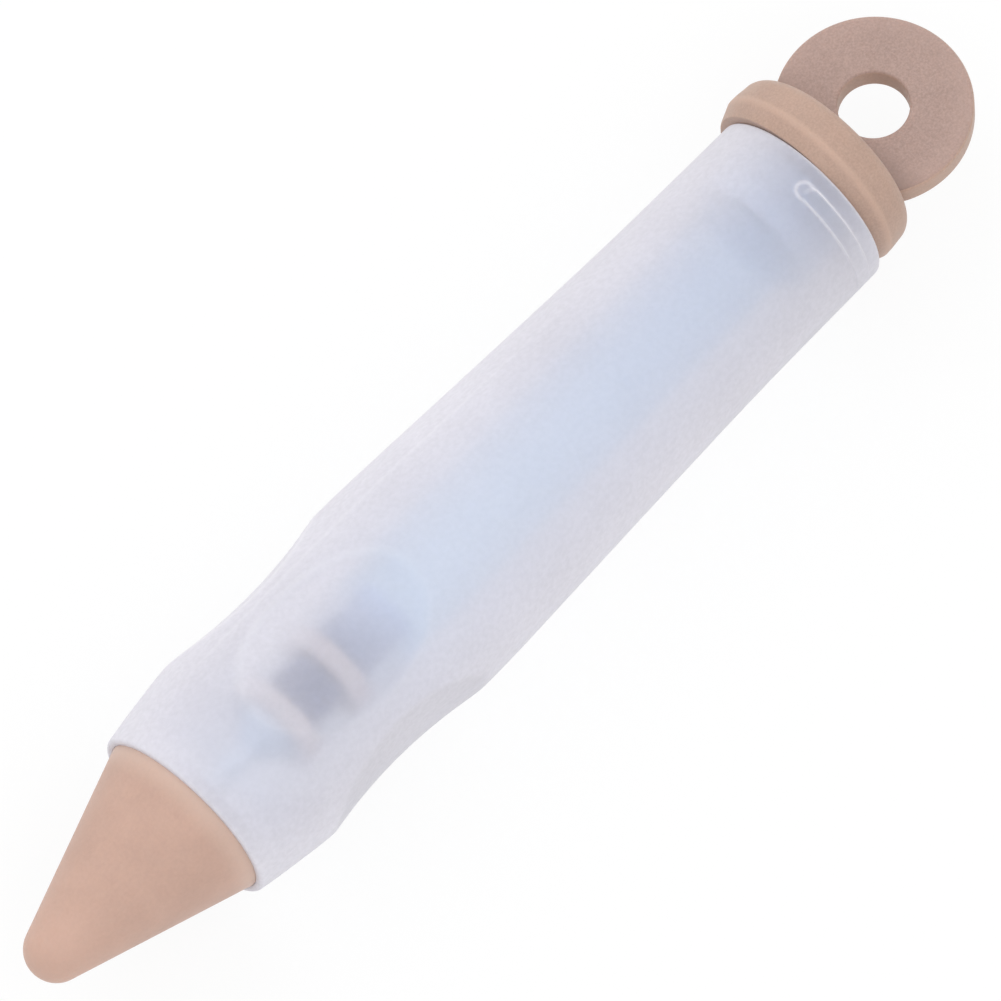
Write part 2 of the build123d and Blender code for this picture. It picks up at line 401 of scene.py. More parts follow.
def lets_light_through(tree, shader, light_share, view_share=0.0):
    """The shader with a share of the light let through, and a share of the view where it is clearer."""
    path = add_node(tree, "ShaderNodeLightPath")
    passing = add_node(
        tree,
        "ShaderNodeMapRange",
        {"Value": path.outputs["Is Shadow Ray"], "To Min": view_share, "To Max": light_share},
    )
    clear = add_node(tree, "ShaderNodeBsdfTransparent")
    return add_node(tree, "ShaderNodeMixShader", {0: passing, 1: shader, 2: clear})


def see_through(tree, shader, passing, seen, lit):
    """Finishes a material through which one share of the view and another of the light pass."""
    path = add_node(tree, "ShaderNodeLightPath")
    shares = {"Factor": path.outputs["Is Shadow Ray"], "A": seen, "B": lit}
    share = add_node(tree, "ShaderNodeMix", shares, data_type="FLOAT")
    mixed = add_node(tree, "ShaderNodeMixShader", {0: share, 1: shader, 2: passing})
    add_node(tree, "ShaderNodeOutputMaterial", {"Surface": mixed})


def beige_silicone(name, base, grain_mm, grain_share, tone_shifts=None, light_share=0, view_share=0.0):
    """Pigmented silicone rubber, moulded: soft satin sheen, a fine matt grain and faint pigment clouds.

    The real grain is finer than the render shows, so it is drawn as coarse as it needs to show.
    tone_shifts(tree, place) gives pairs of a share and the colour that it mixes in, such as painted
    highlights and shade.
    """
    material, tree = new_material(name)
    place = add_node(tree, "ShaderNodeTexCoord").outputs["Object"]
    clouds = add_node(
        tree,
        "ShaderNodeTexNoise",
        {"Vector": place, "Scale": 1 / PIGMENT_CLOUD, "Detail": 4.0, "Roughness": 0.6},
    )
    grain = add_node(
        tree,
        "ShaderNodeTexNoise",
        {"Vector": place, "Scale": 1 / (grain_mm * MM), "Detail": 2.0, "Roughness": 0.6},
    )
    cloudy = mottled(tree, base, clouds, (0.92, 1.05), (0.35, 0.65))
    speckled = mottled(tree, base, grain, (1 - grain_share, 1 + grain_share), (0.3, 0.7))
    skin = add_node(tree, "ShaderNodeMix", {"Factor": 0.5, "A": cloudy, "B": speckled}, data_type="RGBA")
    for share, tone in tone_shifts(tree, place) if tone_shifts else ():
        skin = add_node(tree, "ShaderNodeMix", {"Factor": share, "A": skin, "B": tone}, data_type="RGBA")
    bump = add_node(tree, "ShaderNodeBump", {"Height": grain, "Strength": 0.25, "Distance": 0.05 * MM})
    rough = add_node(tree, "ShaderNodeMapRange", {"Value": grain, "To Min": 0.5, "To Max": 0.64})
    shader = add_node(
        tree,
        "ShaderNodeBsdfPrincipled",
        {
            "Base Color": skin,
            "Roughness": rough,
            "Normal": bump,
            "IOR": 1.41,
            "Specular IOR Level": 0.45,
            "Subsurface Weight": 0.25,
            "Subsurface Radius": (1.2, 0.8, 0.6),
            "Subsurface Scale": 1.5 * MM,
            "Sheen Weight": 0.08,
            "Sheen Roughness": 0.5,
        },
    )
    if light_share:
        shader = lets_light_through(tree, shader, light_share, view_share)
    add_node(tree, "ShaderNodeOutputMaterial", {"Surface": shader})
    return material


class ICINGPEN_OT_barrel(Operator):
    """Build the milky squeeze barrel with its finger dents, raised bar and hollow inside"""

    bl_idname = "icing_pen.barrel"
    bl_label = "Squeeze barrel"

    def execute(self, context):
        size = context.scene.icing_pen.barrel
        stations = [(LIP_X + mm * MM, getattr(size, name + "_radius")) for name, mm in RADIUS_AT.items()]
        stations.append((MOUTH_X, size.mouth_radius))
        dent_x = LIP_X + size.dent_middle
        wheel_height = size.waist_radius + size.dent_along
        past_dent = size.dent_along * 0.3
        search_steps = 4
        bar_x = MOUTH_X - size.bar_inset
        bar_half = size.bar_width / 2

        def dent_depth(x, radius, roll):
            """How far a dent reaches below the round; negative where it stays above."""
            off = (roll + pi / 4) % (pi / 2) - pi / 4
            along = x - dent_x
            if abs(along) > past_dent:
                return -radius
            dent = radius
            for _ in range(search_steps):
                across = dent * sin(off)
                wheel = size.dent_along + size.dent_across - sqrt(size.dent_across**2 - across**2)
                dent = (wheel_height - sqrt(wheel**2 - along**2)) / cos(off)
            return radius - dent

        def dented(x, radius, roll):
            return smooth_minimum(radius, radius - dent_depth(x, radius, roll), size.dent_softness)

        def barred(x, radius, roll):
            off = (roll - size.bar_roll + pi) % (2 * pi) - pi
            beyond = max(abs(off * radius) - (size.bar_length / 2 - bar_half), 0)
            inside = bar_half - hypot(x - bar_x, beyond)
            return radius + size.bar_height * smooth_step(-BAR_EDGE, BAR_EDGE, inside)

        def skin_point(x, radius, roll):
            radius = barred(x, dented(x, radius, roll), roll)
            leaning = size.lean * (x - LIP_X) / (MOUTH_X - LIP_X)
            return about_pen(x, radius, roll) + Vector((0, -leaning, 0))

        def outside(x):
            edge = rounded_off(x - LIP_X, size.lip_round) + rounded_off(MOUTH_X - x, size.mouth_round)
            return flowing_radius(stations, x) - edge

        grid = int((MOUTH_X - LIP_X) / GRID)
        start, end = LIP_X + size.lip_round, MOUTH_X - size.mouth_round
        places = [start + (end - start) * i / grid for i in range(grid + 1)]
        for off in (-1, -0.5, 0, 0.5, 1):
            places += [bar_x + side * (bar_half + off * BAR_EDGE) for side in (-1, 1)]
        for turn in range(0, 90, 15):
            rise = 1 - cos(radians(turn))
            places += [LIP_X + size.lip_round * rise, MOUTH_X - size.mouth_round * rise]
        places.sort()
        skin = [(x, outside(x)) for x in places]

        chamber, seat, recess = size.chamber_radius, size.seat_radius, size.recess_radius
        hole, outlet = size.nozzle_hole_radius, size.outlet_hole_radius
        ease, lip_ease = size.hollow_edge, size.lip_edge
        seat_x = MOUTH_X - size.seat_depth
        shoulder_x = LIP_X + size.front_length
        floor_x = LIP_X + size.recess_depth
        # Each point of the inside, and the finish of the face that starts there
        hollow = [
            (MOUTH_X, seat + ease, SKIN),
            (MOUTH_X - ease, seat, SEAT),
            (seat_x, seat, CHAMBER),
            (seat_x, chamber + ease, CHAMBER),
            (seat_x - ease, chamber, CHAMBER),
            (shoulder_x + ease, chamber, CHAMBER),
            (shoulder_x, chamber - ease, RECESS),
            (shoulder_x, hole, FRONT),
            (shoulder_x - size.nozzle_hole_depth, hole, FRONT),
            (LIP_X + size.outlet_hole_length, outlet, OUTLET),
            (floor_x, outlet, RECESS),
            (floor_x, recess - ease, RECESS),
            (floor_x - ease, recess, RECESS),
            (LIP_X + lip_ease, recess, SKIN),
            (LIP_X, recess + lip_ease, SKIN),
        ]
        profile = skin + [(x, radius) for x, radius, _ in hollow]
        finishes = [SKIN] * len(skin) + [finish for _, _, finish in hollow]
        outside_points = set(skin)

        def place(x, radius, turn):
            if (x, radius) in outside_points:
                return skin_point(x, radius, turn)
            return about_pen(x, radius, turn)

        bm = bmesh.new()
        rim = bm.verts.layers.float.new("dent_rim_highlight")
        painted_shade = bm.verts.layers.float.new("dent_painted_shade")
        milkier = bm.verts.layers.float.new("dent_lit_milk")
        rings = turned_mesh(bm, profile, place, BARREL_TURNS, True, lambda i: finishes[i])
        for (x, radius), ring in zip(skin, rings):
            for i, vertex in enumerate(ring):
                turn = 2 * pi * i / BARREL_TURNS
                depth = dent_depth(x, radius, turn)
                # Painted light: rims towards the key light get a highlight, dents towards -Y and below a
                # shade, and the dents' +Y side is milkier, which paints it lighter
                inside = smooth_step(-size.rim_band / 2, size.rim_band, depth)
                lit = smooth_step(*RIM_HIGHLIGHT_FADE, cos(turn - size.rim_highlight_roll))
                vertex[rim] = max(1 - abs(depth) / size.rim_band, 0) * lit
                vertex[painted_shade] = inside * smooth_step(*PAINTED_SHADE_FADE, cos(turn - size.painted_shade_roll))
                vertex[milkier] = inside * smooth_step(*LIT_MILK_FADE, -sin(turn))
        mesh = finished_mesh("squeeze_barrel_skin", bm)
        # The chamber reads as a cool band: its blue-grey film, like the plug seat's, is painted shade for the
        # dim hollow inside. The thick front hides what it holds. Each inner face has a film of its own, and
        # lets through these shares of a straight view and of the light.
        inner_faces = (
            ("milky_silicone_chamber_wall", size.chamber_shade_film, 0.9, 0.96, size.wall_film),
            ("milky_silicone_solid_front", size.front_film, 0.2, 0.95),
            ("milky_silicone_plug_seat", size.seat_shade_film, 0.6, 0.92),
            ("milky_silicone_lip_recess", size.recess_film, 0.1, 0.85),
            ("milky_silicone_outlet_hole", size.outlet_film, 0.1, 0.9),
        )
        materials = [self.milky_silicone(size)]
        materials += [self.inner_face(size.inner_tint, *inner_face) for inner_face in inner_faces]
        new_piece(mesh, materials, "barrel", "squeeze_barrel", sharp_degrees=50)
        return {"FINISHED"}

    def milky_silicone(self, size):
        """Translucent silicone rubber, moulded: milky and softly lit from inside, with a satin skin.

        What lies inside shows through as a blurred, cooler shape.
        """
        material, tree = new_material("milky_silicone_moulded")
        place = add_node(tree, "ShaderNodeTexCoord").outputs["Object"]
        axes = add_node(tree, "ShaderNodeSeparateXYZ", {"Vector": place})
        clouds = add_node(
            tree, "ShaderNodeTexNoise", {"Vector": place, "Scale": 1 / MILK_CLOUD, "Detail": 2.0}
        )
        milk = mottled(tree, size.milk, clouds, (0.97, 1.02), (0.3, 0.7))
        speckle = add_node(
            tree, "ShaderNodeTexNoise", {"Vector": place, "Scale": 1 / MILK_SPECKLE, "Detail": 2.0}
        )
        speckled = add_node(
            tree,
            "ShaderNodeMapRange",
            {"Value": speckle, "From Min": 0.3, "From Max": 0.7, "To Min": 0.96, "To Max": 1.04},
        )
        # Painted shade: the milk is a little greyer towards the mouth
        shade = along_pen(tree, place, MOUTH_X - 60 * MM, MOUTH_X, 1.0, 0.92)
        # Painted shade: the dents towards -Y and below are greyer, away from the key light
        painted_shade = add_node(tree, "ShaderNodeAttribute", attribute_name="dent_painted_shade").outputs["Fac"]
        painted_darkening = add_node(tree, "ShaderNodeMapRange", {"Value": painted_shade, "To Min": 1.0, "To Max": 0.91})
        for factor in (painted_darkening, speckled):
            shade = add_node(tree, "ShaderNodeMath", {0: shade, 1: factor}, operation="MULTIPLY")
        milk = add_node(tree, "ShaderNodeVectorMath", {0: milk, "Scale": shade}, operation="SCALE")
        # The mould's parting line runs along the barrel between two dents
        left = add_node(tree, "ShaderNodeMath", {0: axes.outputs["Y"], 1: -1.0}, operation="MULTIPLY")
        roll = add_node(tree, "ShaderNodeMath", {0: left, 1: axes.outputs["Z"]}, operation="ARCTAN2")
        from_seam = add_node(tree, "ShaderNodeMath", {0: roll, 1: -size.seam_roll}, operation="ADD")
        seam_gap = add_node(tree, "ShaderNodeMath", {0: from_seam}, operation="ABSOLUTE")
        seam = add_node(
            tree,
            "ShaderNodeMapRange",
            {"Value": seam_gap, "From Min": 0.04, "From Max": 0.0},
            interpolation_type="SMOOTHSTEP",
        )
        # It fades out before the lip and down the taper
        for faded_mm, full_mm in ((6, 16), (88, 60)):
            seam_length = along_pen(tree, place, LIP_X + faded_mm * MM, LIP_X + full_mm * MM)
            seam = add_node(tree, "ShaderNodeMath", {0: seam, 1: seam_length}, operation="MULTIPLY")
        # Painted highlight: the raised bar's crisp edge is drawn lighter, as if it caught the light
        bar_x = MOUTH_X - size.bar_inset
        bar_off = add_node(tree, "ShaderNodeMath", {0: roll, 1: -size.bar_roll}, operation="ADD")
        bar_arc = add_node(tree, "ShaderNodeMath", {0: bar_off, 1: size.mouth_radius}, operation="MULTIPLY")
        bar_side = add_node(tree, "ShaderNodeMath", {0: bar_arc}, operation="ABSOLUTE")
        straight = (size.bar_length - size.bar_width) / 2
        bar_end = add_node(tree, "ShaderNodeMath", {0: bar_side, 1: straight}, operation="SUBTRACT")
        beyond = add_node(tree, "ShaderNodeMath", {0: bar_end, 1: 0.0}, operation="MAXIMUM")
        across = add_node(tree, "ShaderNodeMath", {0: axes.outputs["X"], 1: bar_x}, operation="SUBTRACT")
        flat = add_node(tree, "ShaderNodeCombineXYZ", {"X": across, "Y": beyond})
        away = add_node(tree, "ShaderNodeVectorMath", {0: flat}, operation="LENGTH")
        edge_gap = add_node(tree, "ShaderNodeMath", {0: away, 1: size.bar_width / 2}, operation="SUBTRACT")
        from_edge = add_node(tree, "ShaderNodeMath", {0: edge_gap}, operation="ABSOLUTE")
        edge = add_node(
            tree,
            "ShaderNodeMapRange",
            {"Value": from_edge, "From Min": 0.08 * MM, "From Max": 0.42 * MM, "To Min": 1.0, "To Max": 0.0},
            interpolation_type="SMOOTHSTEP",
        )
        # Its painted highlight is strong at one end and fades towards the other
        crisp = add_node(
            tree,
            "ShaderNodeMapRange",
            {
                "Value": bar_arc,
                "From Min": -size.bar_length / 2,
                "From Max": size.bar_length / 3,
                "To Min": 0.32,
                "To Max": 0.03,
            },
        )
        bar_highlight = add_node(tree, "ShaderNodeMath", {0: edge, 1: crisp}, operation="MULTIPLY")
        # Painted highlights too on the dents' rims and, more faintly, on the parting line
        rim = add_node(tree, "ShaderNodeAttribute", attribute_name="dent_rim_highlight").outputs["Fac"]
        rim_highlights = add_node(tree, "ShaderNodeMath", {0: rim, 1: 0.2}, operation="MULTIPLY")
        painted_highlights = add_node(
            tree, "ShaderNodeMath", {0: seam, 1: 0.11, 2: rim_highlights}, operation="MULTIPLY_ADD", use_clamp=True
        )
        for share, lit in ((bar_highlight, "#FAF8FC"), (painted_highlights, "#FBFAFD")):
            tones = {"Factor": share, "A": milk, "B": linear(lit)}
            milk = add_node(tree, "ShaderNodeMix", tones, data_type="RGBA")
        grain = add_node(
            tree, "ShaderNodeTexNoise", {"Vector": place, "Scale": 1 / MOULD_GRAIN, "Detail": 2.0}
        )
        relief = add_node(tree, "ShaderNodeMath", {0: grain, 1: seam}, operation="ADD")
        bump = add_node(tree, "ShaderNodeBump", {"Height": relief, "Strength": 0.3, "Distance": 0.03 * MM})
        skin = add_node(
            tree,
            "ShaderNodeBsdfPrincipled",
            {
                "Base Color": milk,
                "Roughness": 0.5,
                "IOR": 1.41,
                "Specular IOR Level": 0.2,
                "Subsurface Weight": 0.25,
                "Subsurface Radius": (1.0, 1.0, 1.1),
                "Subsurface Scale": 1.5 * MM,
                "Normal": bump,
            },
        )
        through = add_node(
            tree,
            "ShaderNodeBsdfRefraction",
            {"Color": size.depth_tint, "Roughness": 1.0, "IOR": 1.07, "Normal": bump},
        )
        clear = add_node(tree, "ShaderNodeBsdfTransparent", {"Color": size.depth_tint})
        # Light soaks through the silicone more easily than a clear view does
        soaking = add_node(tree, "ShaderNodeLightPath").outputs["Is Shadow Ray"]
        passing = add_node(tree, "ShaderNodeMixShader", {0: soaking, 1: through, 2: clear})
        # The way through the milk is longer at a slant, so less shows through there
        slant = add_node(tree, "ShaderNodeLayerWeight", {"Blend": 0.85}).outputs["Facing"]
        view = add_node(tree, "ShaderNodeMapRange", {"Value": slant, "To Min": CLEAR_VIEW, "To Max": 0.0})
        at_edge = add_node(tree, "ShaderNodeMapRange", {"Value": edge, "To Min": 1.0, "To Max": 0.6})
        near_lip = along_pen(tree, place, LIP_X, LIP_X + 5 * MM, 0.35)
        # Painted light: the dents are milkier on their +Y side, towards the key light, so they read lighter
        milkiness = add_node(tree, "ShaderNodeAttribute", attribute_name="dent_lit_milk").outputs["Fac"]
        in_dent = add_node(tree, "ShaderNodeMapRange", {"Value": milkiness, "To Min": 1.0, "To Max": 0.5})
        seen = at_edge
        for factor in (near_lip, in_dent, view):
            seen = add_node(tree, "ShaderNodeMath", {0: seen, 1: factor}, operation="MULTIPLY")
        see_through(tree, skin, passing, seen, CLEAR_LIGHT)
        return material

    def inner_face(self, tint, name, film, view_share, light_share, pale_film=None):
        """A moulded inner face of the same silicone, seen as a faint film behind the milky skin.

        The shares say how much of the view and of the light passes straight through, and the
        pale film is the colour round the nozzle, where the wall is thick.
        """
        material, tree = new_material(name)
        place = add_node(tree, "ShaderNodeTexCoord").outputs["Object"]
        clouds = add_node(
            tree, "ShaderNodeTexNoise", {"Vector": place, "Scale": 1 / INNER_CLOUD, "Detail": 2.0}
        )
        tone = mottled(tree, film, clouds, (0.94, 1.06))
        if pale_film:
            pale = along_pen(tree, place, TUBE_END_X, TUBE_END_X - 5 * MM, soft=True)
            tones = {"Factor": pale, "A": tone, "B": pale_film}
            tone = add_node(tree, "ShaderNodeMix", tones, data_type="RGBA")
        wall = add_node(
            tree, "ShaderNodeBsdfPrincipled", {"Base Color": tone, "Roughness": 0.6, "IOR": 1.41}
        )
        clear = add_node(tree, "ShaderNodeBsdfTransparent", {"Color": tint})
        # Less shows through towards the plug, which shades the inside
        seen = along_pen(tree, place, 0, MOUTH_X, view_share, view_share - 0.1)
        if pale_film:
            slant = add_node(tree, "ShaderNodeLayerWeight", {"Blend": 0.7}).outputs["Facing"]
            hidden = add_node(tree, "ShaderNodeMath", {0: slant, 1: pale}, operation="MULTIPLY")
            kept = add_node(tree, "ShaderNodeMapRange", {"Value": hidden, "To Min": 1.0, "To Max": 0.5})
            seen = add_node(tree, "ShaderNodeMath", {0: seen, 1: kept}, operation="MULTIPLY")
        see_through(tree, wall, clear, seen, light_share)
        return material


class ICINGPEN_OT_nozzle(Operator):
    """Finish the plastic nozzle and build its two soft seal rings"""

    bl_idname = "icing_pen.nozzle"
    bl_label = "Nozzle and seals"

    def execute(self, context):
        size = context.scene.icing_pen.nozzle
        plastic = self.moulded_plastic(size)
        for slot in frame["nodes"]["nozzle"].material_slots:
            slot.material = plastic
        rubber = beige_silicone("beige_silicone_seals", size.seal_silicone, 0.5, 0.03, light_share=0.75)
        for node in ("front_seal", "rear_seal"):
            low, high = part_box(node)
            inner, corner = SEAL_BORE, size.seal_round
            front, rear, top = low[0] + corner, high[0] - corner, high[2] - corner
            profile = [(low[0], inner), (high[0], inner)]
            profile += quarter_round((rear, top), corner, 0) + quarter_round((front, top), corner, 90)
            bm = bmesh.new()
            turned_mesh(bm, profile, about_pen, SEAL_TURNS, True)
            mesh = finished_mesh(node + "_ring", bm)
            new_piece(mesh, [rubber], "nozzle", node, sharp_degrees=50)
        return {"FINISHED"}

    def moulded_plastic(self, size):
        """Polypropylene, injection moulded: waxy, tinted round the seals and paler towards both ends.

        The pale outlet hardly shows through the barrel, and faint flow marks run along the tube.
        """
        material, tree = new_material("tinted_polypropylene_moulded")
        place = add_node(tree, "ShaderNodeTexCoord").outputs["Object"]
        stretched = add_node(tree, "ShaderNodeMapping", {"Vector": place, "Scale": (0.2, 1.0, 1.0)})
        flow = add_node(
            tree, "ShaderNodeTexNoise", {"Vector": stretched, "Scale": 1 / FLOW_MARK, "Detail": 2.0}
        )
        tone = mottled(tree, size.plastic, flow, (0.93, 1.07))
        seal_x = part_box("front_seal")[0][0]
        to_outlet = along_pen(tree, place, seal_x + 1 * MM, seal_x - 1 * MM, soft=True)
        to_rear = along_pen(tree, place, TUBE_END_X - 15 * MM, TUBE_END_X, 0.0, 0.95)
        ends = add_node(tree, "ShaderNodeMath", {0: to_outlet, 1: to_rear}, operation="MAXIMUM")
        dyed = add_node(
            tree, "ShaderNodeMix", {"Factor": ends, "A": tone, "B": size.outlet_plastic}, data_type="RGBA"
        )
        shader = add_node(
            tree,
            "ShaderNodeBsdfPrincipled",
            {"Base Color": dyed, "Roughness": 0.5, "IOR": 1.49, "Specular IOR Level": 0.3},
        )
        shader = lets_light_through(tree, shader, 0.75)
        add_node(tree, "ShaderNodeOutputMaterial", {"Surface": shader})
        return material


class ICINGPEN_OT_cap(Operator):
    """Build the blunt cone cap over the nozzle"""

    bl_idname = "icing_pen.cap"
    bl_label = "Nozzle cap"

    def execute(self, context):
        size = context.scene.icing_pen.cap
        centre_x = TIP_X + size.tip_radius
        reach = LIP_X - centre_x
        slope = atan2(size.base_radius, reach) - atan2(
            size.tip_radius, sqrt(size.base_radius**2 + reach**2 - size.tip_radius**2)
        )
        tip_steps, side_steps = 20, 24
        profile = [(TIP_X, 0)]
        for i in range(1, tip_steps + 1):
            turn = i / tip_steps * (pi / 2 - slope)
            profile.append((centre_x - size.tip_radius * cos(turn), size.tip_radius * sin(turn)))
        side_x, side_radius = profile[-1]
        for i in range(1, side_steps + 1):
            share = i / side_steps
            radius = side_radius + (size.base_radius - side_radius) * share
            profile.append((side_x + (LIP_X - side_x) * share, radius))
        rim_x = LIP_X + size.rim_depth
        ease = 0.25 * MM
        profile += [
            (rim_x - ease, size.base_radius),
            (rim_x, size.base_radius - ease),
            (rim_x, size.cavity_radius + ease),
            (rim_x - ease, size.cavity_radius),
            (LIP_X - size.cavity_depth + ease, size.cavity_radius),
            (LIP_X - size.cavity_depth, size.cavity_radius - ease),
            (LIP_X - size.cavity_depth, 0),
        ]

        def place(x, radius, turn):
            leaning = size.lean * max(LIP_X - x, 0) / (LIP_X - TIP_X)
            return about_pen(x, radius, turn) + Vector((0, -leaning, 0))

        bm = bmesh.new()
        turned_mesh(bm, profile, place, CAP_TURNS)
        mesh = finished_mesh("nozzle_cap_cone", bm)

        def cap_painted_light(tree, place):
            """Painted light: the cap's base glows paler beside the milky lip, and the tip is a little
            lighter.
            """
            near = along_pen(tree, place, LIP_X - 3.5 * MM, LIP_X, 0.0, 0.4, soft=True)
            tip_light = along_pen(tree, place, TIP_X + 14 * MM, TIP_X + 3 * MM, 0.0, 0.3, soft=True)
            return [(near, size.lit_silicone), (tip_light, shaded(size.silicone, 1.25))]

        silicone = beige_silicone("beige_silicone_cap", size.silicone, 0.45, 0.06, cap_painted_light)
        new_piece(mesh, [silicone], "cap", "nozzle_cap", sharp_degrees=40)
        return {"FINISHED"}


class ICINGPEN_OT_plug(Operator):
    """Build the end plug: its stem, its flange and its flat hanging ring"""

    bl_idname = "icing_pen.plug"
    bl_label = "End plug"

    def execute(self, context):
        size = context.scene.icing_pen.plug
        flange_x = STEM_X + size.stem_length
        rear_x = flange_x + size.thickness
        rib_x = (STEM_X + flange_x) / 2
        band_x = flange_x + size.chamfer_length
        ease, stem_bevel, rib_foot, rib_crest = 0.2 * MM, 0.8 * MM, 0.8 * MM, 0.3 * MM
        stem, rib = size.stem_radius, size.stem_radius + size.rib_height
        stem_profile = [
            (STEM_X, 0),
            (STEM_X, stem - stem_bevel),
            (STEM_X + stem_bevel, stem),
            (rib_x - rib_foot, stem),
            (rib_x - rib_crest, rib),
            (rib_x + rib_crest, rib),
            (rib_x + rib_foot, stem),
            (flange_x - ease, stem),
        ]
        profile = stem_profile + [
            (flange_x, stem + ease),
            (flange_x, size.front_radius - ease),
            (flange_x + ease, size.front_radius),
        ]
        # The flange is a little crowned behind its chamfer: distances past it, and drops from full radius
        crown = ((-ease, 0.12 * MM), (0, 0.03 * MM), (ease, 0), (1.2 * MM, 0.04 * MM))
        profile += [(band_x + past, size.flange_radius - drop) for past, drop in crown]
        corner = (rear_x - size.rear_round, size.rear_radius - size.rear_round)
        profile += reversed(quarter_round(corner, size.rear_round, 0, 12))
        profile.append((rear_x, 0))

        def stem_finish(i):
            return STEM if i < len(stem_profile) else MOULDED

        bm = bmesh.new()
        turned_mesh(bm, profile, about_pen, PLUG_TURNS, finish=stem_finish)

        # The ring is turned about its own hole, so its flat faces lie square to the hole
        half, border = size.ring_thickness / 2, 0.3 * MM
        rim_radius, hole_radius = size.ring_radius - size.rim_round, size.hole_radius + size.hole_round
        rim = quarter_round((rim_radius, half - size.rim_round), size.rim_round, 0)
        hole = quarter_round((hole_radius, half - size.hole_round), size.hole_round, 90)
        upper = rim + [(rim_radius - border, half), (hole_radius + border, half)] + hole
        section = [(h, r) for r, h in upper] + [(-h, r) for r, h in reversed(upper)]
        face_height = half - size.rim_round / 3
        centre = Vector((RING_X, 0, 0))
        side = Vector((1, 0, 0))
        other = RING_NORMAL.cross(side)

        def about_hole(height, radius, turn):
            return centre + RING_NORMAL * height + (side * cos(turn) + other * sin(turn)) * radius

        def ring_finish(i):
            ends = section[i], section[(i + 1) % len(section)]
            return RING_FACE if all(abs(height) > face_height for height, _ in ends) else MOULDED

        turned_mesh(bm, section, about_hole, RING_TURNS, True, ring_finish)
        mesh = finished_mesh("end_plug_ring", bm)

        def ridge_painted_highlight(tree, place):
            """Painted highlight: the flange's ridge is drawn lighter."""
            axes = add_node(tree, "ShaderNodeSeparateXYZ", {"Vector": place})
            off = add_node(tree, "ShaderNodeMath", {0: axes.outputs["X"], 1: band_x}, operation="SUBTRACT")
            away = add_node(tree, "ShaderNodeMath", {0: off}, operation="ABSOLUTE")
            ridge_highlight = add_node(
                tree,
                "ShaderNodeMapRange",
                {"Value": away, "From Min": 0.8 * MM, "From Max": 0.1 * MM, "To Max": 0.5},
                interpolation_type="SMOOTHSTEP",
            )
            return [(ridge_highlight, shaded(size.silicone, 1.25))]

        def face_rim_and_corner_shade(tree, place):
            """The ring's faces are lighter near the rim, with a painted shade in the corner by the flange."""
            away = add_node(tree, "ShaderNodeVectorMath", {0: place, 1: centre}, operation="DISTANCE")
            rim = add_node(
                tree,
                "ShaderNodeMapRange",
                {"Value": away, "From Min": 9 * MM, "From Max": 12.5 * MM, "To Max": 0.28},
                interpolation_type="SMOOTHSTEP",
            )
            # Painted shade in the corner where the ring meets the flange
            corner_shade = along_pen(tree, place, rear_x + 5 * MM, rear_x, 0.0, 0.9, soft=True)
            return [(rim, shaded(size.face_silicone, 1.25)), (corner_shade, shaded(size.face_silicone, 0.72))]

        # The ring's flat faces come from a blasted mould, duller and greyer than the polished rounds,
        # and the stem is undyed. Each has its grain's size in millimetres and its strength.
        silicones = [
            beige_silicone("beige_silicone_plug", size.silicone, 0.3, 0.16, ridge_painted_highlight),
            beige_silicone("beige_silicone_ring_faces", size.face_silicone, 0.3, 0.28, face_rim_and_corner_shade),
            beige_silicone(
                "undyed_silicone_stem", size.stem_silicone, 0.5, 0.03, light_share=0.95, view_share=0.56
            ),
        ]
        new_piece(mesh, silicones, "plug", "end_plug", sharp_degrees=38)
        return {"FINISHED"}


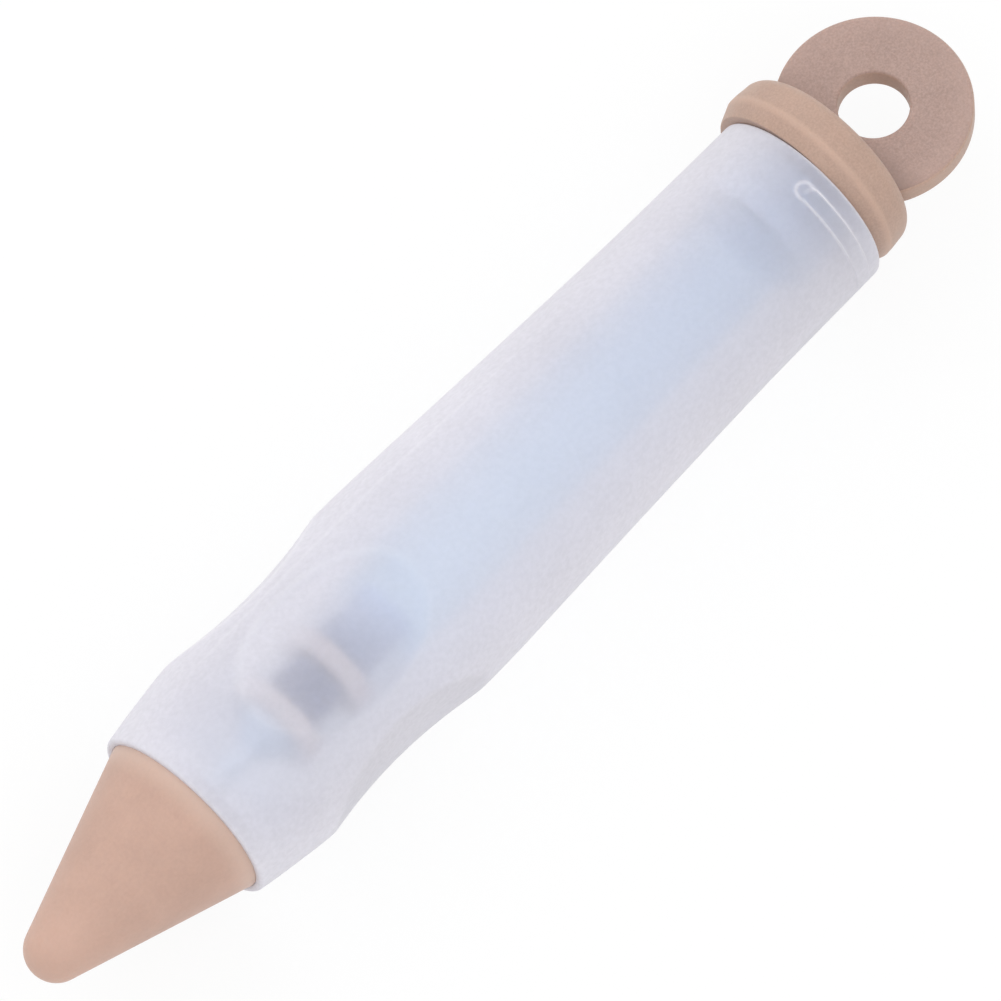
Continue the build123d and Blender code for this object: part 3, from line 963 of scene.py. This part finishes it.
class ICINGPEN_OT_stage(Operator):
    """Set the plain floor, the soft lamps and the camera"""

    bl_idname = "icing_pen.stage"
    bl_label = "Stage"
    view_from = Vector((-0.284, -0.147, 0.948))
    tilt_degrees = 45.63
    aim_along = 0.72 * MM
    aim_below = 0.69 * MM
    lens_mm = 492
    sensor_mm = 36
    lamp_distance = 0.9

    def execute(self, context):
        scene = context.scene
        size = scene.icing_pen.stage
        self.world(scene)
        self.floor(scene, size)

        # The camera looks down from the cap's side, and the ring points up to the right
        towards = self.view_from.normalized()
        along = (Vector((1, 0, 0)) - towards * towards.x).normalized()
        below = along.cross(towards)
        tilt = radians(self.tilt_degrees)
        right = along * cos(tilt) + below * sin(tilt)
        up = along * sin(tilt) - below * cos(tilt)
        target = Vector((self.aim_along, 0, 0)) + below * self.aim_below
        data = bpy.data.cameras.new("camera")
        data.lens = self.lens_mm
        data.sensor_width = self.sensor_mm
        data.clip_end = 10
        camera = bpy.data.objects.new("camera", data)
        scene.collection.objects.link(camera)
        camera.matrix_world = Matrix.Translation(target + towards * size.distance) @ Matrix(
            (right, up, towards)
        ).transposed().to_4x4()
        scene.camera = camera

        key_from = towards * 0.55 - below * 0.75 + along * 0.35
        fill_from = towards + below * 0.25 + along * 0.1
        self.lamp(scene, "key_softbox", key_from, side=0.6, watts=2.35)
        self.lamp(scene, "fill_softbox", fill_from, side=0.9, watts=2.1)
        scene.view_settings.view_transform = "Standard"
        return {"FINISHED"}

    def lamp(self, scene, name, direction, side, watts):
        """A square softbox that faces the pen."""
        data = bpy.data.lights.new(name, "AREA")
        data.shape = "SQUARE"
        data.size = side
        data.energy = watts
        lamp = bpy.data.objects.new(name, data)
        scene.collection.objects.link(lamp)
        lamp.location = direction.normalized() * self.lamp_distance
        lamp.rotation_euler = direction.to_track_quat("Z", "Y").to_euler()

    def world(self, scene):
        """Even white surroundings; what a camera, mirror or clear ray sees is plain white."""
        world = bpy.data.worlds.new("white_surroundings")
        scene.world = world
        world.use_nodes = True
        tree = world.node_tree
        tree.nodes.clear()
        strength = add_node(
            tree, "ShaderNodeMapRange", {"Value": sees_white(tree), "To Min": 0.82, "To Max": 1.0}
        )
        background = add_node(tree, "ShaderNodeBackground", {"Color": (1, 1, 1), "Strength": strength})
        add_node(tree, "ShaderNodeOutputWorld", {"Surface": background})

    def floor(self, scene, size):
        """A wide plain floor under the pen, near white to the camera, that keeps the pen's soft shadow."""
        gap, pen_radius, half_width = 0.05 * MM, 15 * MM, 1.5
        low = min(BARREL_BOX[0][2], -pen_radius) - gap
        bm = bmesh.new()
        bmesh.ops.create_grid(bm, x_segments=8, y_segments=8, size=half_width)
        for vertex in bm.verts:
            vertex.co.z = low
        mesh = bpy.data.meshes.new("floor")
        bm.to_mesh(mesh)
        bm.free()
        material, tree = new_material("painted_board")
        grain = add_node(tree, "ShaderNodeTexNoise", {"Scale": 1 / BOARD_GRAIN, "Detail": 2.0})
        tone = mottled(tree, size.floor, grain, (0.995, 1))
        board = add_node(tree, "ShaderNodeBsdfDiffuse", {"Color": tone, "Roughness": 0.5})
        glow = add_node(tree, "ShaderNodeEmission", {"Color": (1, 1, 1), "Strength": 1.0})
        share = add_node(tree, "ShaderNodeMath", {0: sees_white(tree), 1: 0.9}, operation="MULTIPLY")
        mixed = add_node(tree, "ShaderNodeMixShader", {0: share, 1: board, 2: glow})
        add_node(tree, "ShaderNodeOutputMaterial", {"Surface": mixed})
        mesh.materials.append(material)
        board_object = bpy.data.objects.new("floor", mesh)
        scene.collection.objects.link(board_object)


class ICINGPEN_PT_sidebar(Panel):
    """Lists the pieces of the icing pen and their sizes"""

    bl_label = "Icing pen"
    bl_idname = "ICINGPEN_PT_sidebar"
    bl_space_type = "VIEW_3D"
    bl_region_type = "UI"
    bl_category = "Icing pen"

    def draw(self, context):
        for group in GROUPS:
            box = self.layout.box()
            box.operator("icing_pen." + group)
            settings = getattr(context.scene.icing_pen, group)
            for name in settings.__annotations__:
                box.prop(settings, name)


GROUPS = ("barrel", "nozzle", "cap", "plug", "stage")
CLASSES = (
    IcingPenBarrel,
    IcingPenCap,
    IcingPenPlug,
    IcingPenNozzle,
    IcingPenStage,
    IcingPenSettings,
    ICINGPEN_OT_barrel,
    ICINGPEN_OT_nozzle,
    ICINGPEN_OT_cap,
    ICINGPEN_OT_plug,
    ICINGPEN_OT_stage,
    ICINGPEN_PT_sidebar,
)


def register():
    for cls in CLASSES:
        bpy.utils.register_class(cls)
    bpy.types.Scene.icing_pen = PointerProperty(type=IcingPenSettings)


def unregister():
    del bpy.types.Scene.icing_pen
    for cls in reversed(CLASSES):
        bpy.utils.unregister_class(cls)


def main():
    register()
    bpy.ops.icing_pen.barrel()
    bpy.ops.icing_pen.nozzle()
    bpy.ops.icing_pen.cap()
    bpy.ops.icing_pen.plug()
    bpy.ops.icing_pen.stage()


if __name__ == "__main__":
    main()
